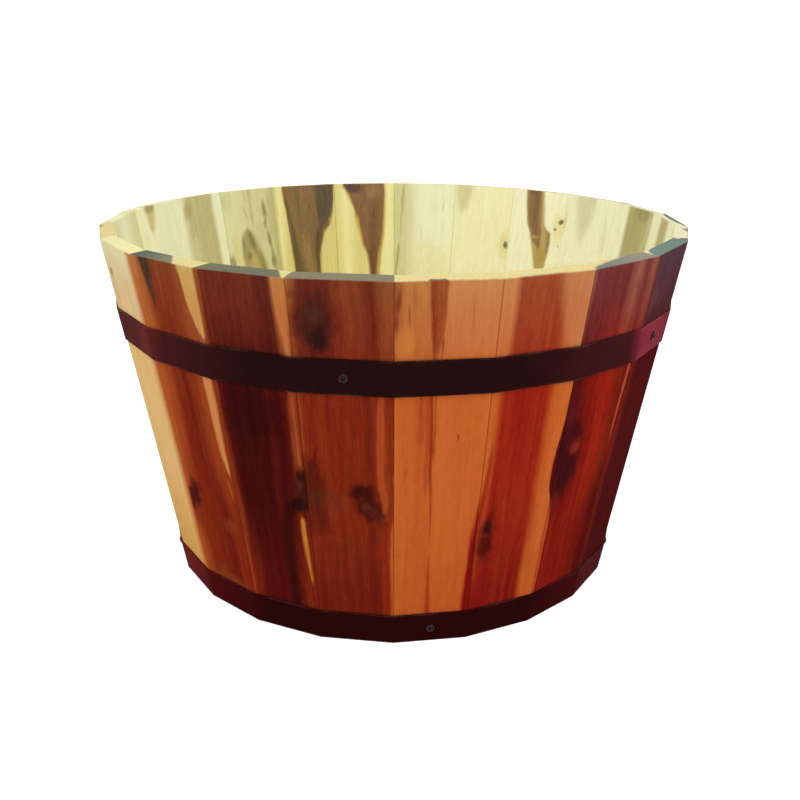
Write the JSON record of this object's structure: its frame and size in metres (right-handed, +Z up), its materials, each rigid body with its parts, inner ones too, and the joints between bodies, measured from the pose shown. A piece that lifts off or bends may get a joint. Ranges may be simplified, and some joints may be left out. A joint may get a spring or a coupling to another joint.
{
  "type": "planter tub",
  "caption": "Round tapered planter of leaning wooden staves held by two flat steel bands, open at the top, with a boarded base on cleats and drain holes.",
  "frame": {"origin": "on the floor at the centre of the tub", "axes": "+Z up, -Y towards the front joint between two staves, +X to the right seen from the front"},
  "size_m": [0.554, 0.5596, 0.3361],
  "materials": {
    "stained_sapwood": "satin, stained",
    "stained_orange": "satin, stained",
    "stained_maroon": "satin, stained",
    "stained_plum": "satin, stained",
    "stained_tan": "satin, stained",
    "stained_red_brown": "satin, stained",
    "pale_sapwood": "satin, stained",
    "raw_wood": "matte, bare",
    "band_paint": "satin",
    "screw_paint": "satin",
    "zinc_steel": "satin"
  },
  "bodies": {
    "root": {"stave_01": "stained_sapwood", "stave_02": "stained_orange", "stave_03": "stained_maroon", "stave_04": "stained_plum", "stave_05": "stained_tan", "stave_06": "stained_red_brown", "stave_07": "stained_sapwood", "stave_08": "stained_orange", "stave_09": "stained_maroon", "stave_10": "stained_plum", "stave_11": "stained_tan", "stave_12": "stained_red_brown", "stave_13": "stained_sapwood", "stave_14": "stained_orange", "stave_15": "stained_maroon", "stave_16": "stained_plum", "stave_17": "stained_tan", "stave_18": "stained_red_brown", "stave_19": "pale_sapwood", "stave_20": "stained_red_brown", "stave_21": "stained_maroon", "stave_22": "stained_orange", "upper_band": "band_paint", "lower_band": "band_paint", "upper_band_screws": "screw_paint", "lower_band_screws": "screw_paint", "base_board_1": "raw_wood", "base_board_2": "raw_wood", "base_board_3": "raw_wood", "base_board_4": "raw_wood", "base_board_5": "raw_wood", "left_cleat": "raw_wood", "right_cleat": "raw_wood", "cleat_screws": "zinc_steel"}
  },
  "joints": []
}
